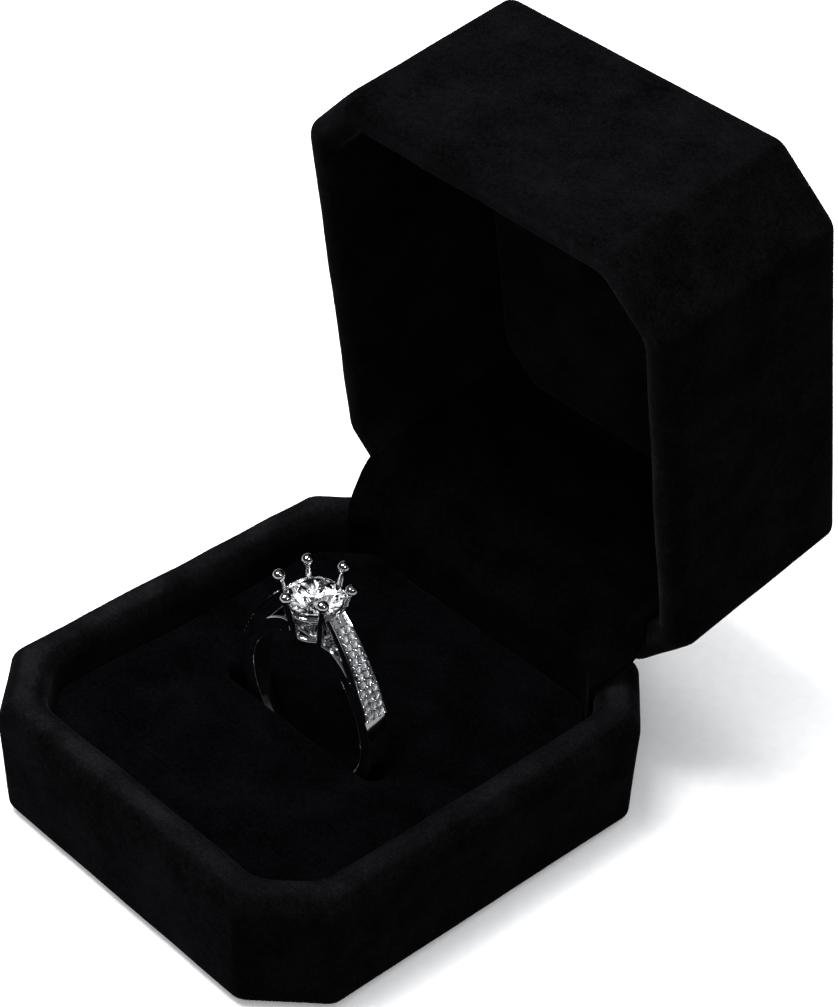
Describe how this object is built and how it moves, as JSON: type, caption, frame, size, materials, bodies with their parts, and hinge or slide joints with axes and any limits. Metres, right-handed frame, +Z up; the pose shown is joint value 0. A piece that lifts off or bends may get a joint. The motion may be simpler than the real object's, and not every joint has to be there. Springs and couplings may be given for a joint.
{
  "type": "ring box",
  "caption": "Velvet ring box with cut corners, a deep hinged lid and a slit pad that holds an upright solitaire ring with prong-set stone.",
  "frame": {"origin": "middle of the base's underside", "axes": "+X along the hinge, +Y from the front towards the hinge, +Z up"},
  "size_m": [0.056, 0.0848, 0.0777],
  "materials": {
    "outer_velvet": "deep black velvet nap over foam",
    "pad_velvet": "black velvet, shorter nap",
    "lining_velvet": "black velvet lining",
    "felt": "thin pressed felt",
    "shell_plastic": "moulded, matt",
    "foam": "soft polyurethane foam",
    "card": "stiff grey card",
    "hinge_steel": "plain rolled steel",
    "spring_steel": "blued spring steel",
    "ring_metal": "rhodium-bright polish",
    "stone": "clear faceted stone"
  },
  "bodies": {
    "base": {"base_shell": "shell_plastic", "base_velvet_cover": "outer_velvet", "base_wall_padding": "foam", "base_bottom_sheet": "felt", "pad_card": "card", "ring_pad_foam": "foam", "ring_pad_cover": "pad_velvet", "hinge_base_leaf": "hinge_steel", "hinge_spring": "spring_steel", "hinge_pin": "hinge_steel", "base_rivets": "hinge_steel", "hinge_flap_base": "lining_velvet"},
    "lid": {"lid_shell": "shell_plastic", "lid_velvet_cover": "outer_velvet", "lid_wall_padding": "foam", "lid_top_lining": "lining_velvet", "hinge_lid_leaf": "hinge_steel", "lid_rivets": "hinge_steel", "hinge_flap_lid": "lining_velvet"},
    "ring": {"ring_shank": "ring_metal", "ring_head": "ring_metal", "centre_stone": "stone", "pave_stones": "stone"}
  },
  "joints": [
    {"name": "lid_hinge", "type": "hinge", "parent": "base", "child": "lid", "pos_m": [0, 0.0286, 0.016], "axis": [-1, 0, 0], "range_deg": [-81, 0]},
    {"name": "ring_lift", "type": "slide", "parent": "base", "child": "ring", "axis": [0, 0, 1], "range_m": [0, 0.045]}
  ]
}
